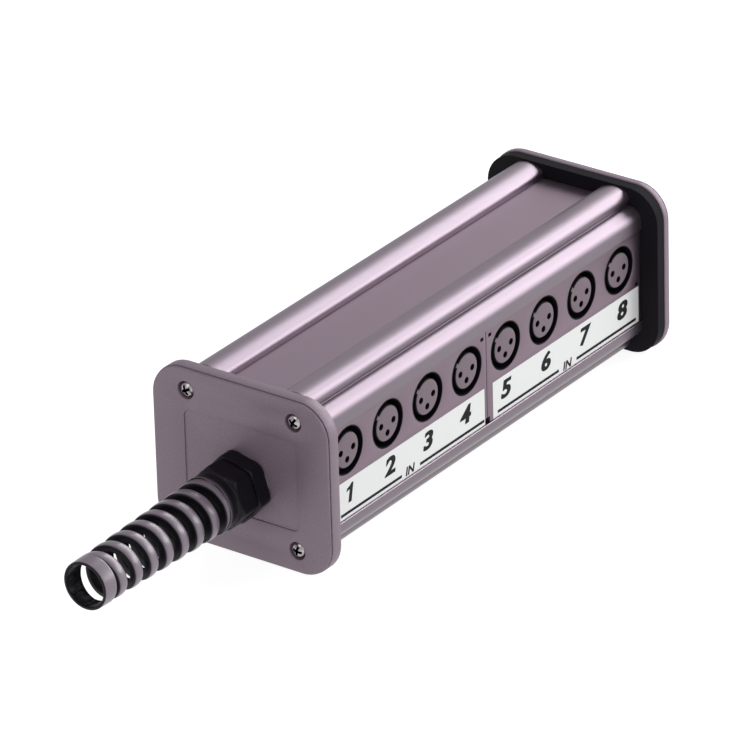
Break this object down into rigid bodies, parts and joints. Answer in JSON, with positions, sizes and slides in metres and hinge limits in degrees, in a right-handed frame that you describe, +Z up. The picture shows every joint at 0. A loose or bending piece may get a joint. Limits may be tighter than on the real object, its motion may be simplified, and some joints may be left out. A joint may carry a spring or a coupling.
{
  "type": "stage box snake",
  "caption": "Audio stage box with a row of three-pole microphone sockets on one face and a screw-down cable gland with a spiral bend relief on one end.",
  "frame": {"origin": "middle of the whole part's box, on the plane that the end plates stand on", "axes": "+X along the length from the gland's tip to the far end plate, +Z up, the sockets face -Y"},
  "size_m": [0.3263, 0.082, 0.0726],
  "materials": {
    "end_plate": "fine matte grain",
    "gasket": "matte",
    "post": "satin anodised, drawn along its length",
    "panel": "satin anodised",
    "module_plate": "satin anodised",
    "number_strip": "printed film",
    "screw": "nickel plated",
    "socket_shell": "moulded",
    "socket_insert": "moulded",
    "contact": "tin plated",
    "board": "lacquered",
    "seal": "matte",
    "lock_nut": "nickel plated",
    "thrust_ring": "moulded",
    "claw": "moulded",
    "gland": "moulded, smooth"
  },
  "bodies": {
    "box": {"near_end_plate": "end_plate", "far_end_plate": "end_plate", "near_gasket": "gasket", "far_gasket": "gasket", "front_top_post": "post", "front_bottom_post": "post", "back_top_post": "post", "back_bottom_post": "post", "top_panel": "panel", "bottom_panel": "panel", "back_panel": "panel", "near_module_plate": "module_plate", "far_module_plate": "module_plate", "near_number_strip": "number_strip", "far_number_strip": "number_strip", "near_plate_screws": "screw", "far_plate_screws": "screw", "socket_shell_1": "socket_shell", "socket_shell_2": "socket_shell", "socket_shell_3": "socket_shell", "socket_shell_4": "socket_shell", "socket_shell_5": "socket_shell", "socket_shell_6": "socket_shell", "socket_shell_7": "socket_shell", "socket_shell_8": "socket_shell", "socket_insert_1": "socket_insert", "socket_insert_2": "socket_insert", "socket_insert_3": "socket_insert", "socket_insert_4": "socket_insert", "socket_insert_5": "socket_insert", "socket_insert_6": "socket_insert", "socket_insert_7": "socket_insert", "socket_insert_8": "socket_insert", "contacts_1": "contact", "contacts_2": "contact", "contacts_3": "contact", "contacts_4": "contact", "contacts_5": "contact", "contacts_6": "contact", "contacts_7": "contact", "contacts_8": "contact", "near_board": "board", "far_board": "board", "near_board_screws": "screw", "far_board_screws": "screw", "gland_body": "gland", "gland_seal_ring": "seal", "gland_lock_nut": "lock_nut", "gland_claw": "claw", "gland_cable_seal": "seal"},
    "thrust_ring": {"gland_thrust_ring": "thrust_ring"},
    "spiral_nut": {"spiral_nut": "gland"}
  },
  "joints": [
    {"name": "nut_travel", "type": "slide", "parent": "box", "child": "thrust_ring", "axis": [-1, 0, 0], "range_m": [0, 0.005]},
    {"name": "nut_turn", "type": "hinge", "parent": "thrust_ring", "child": "spiral_nut", "pos_m": [-0.0784, 0, 0.031], "axis": [-1, 0, 0], "range_deg": [0, 1200]}
  ],
  "couplings": [
    {"joint": "nut_travel", "follows": "nut_turn", "m_per_rad": 0.0002387}
  ]
}
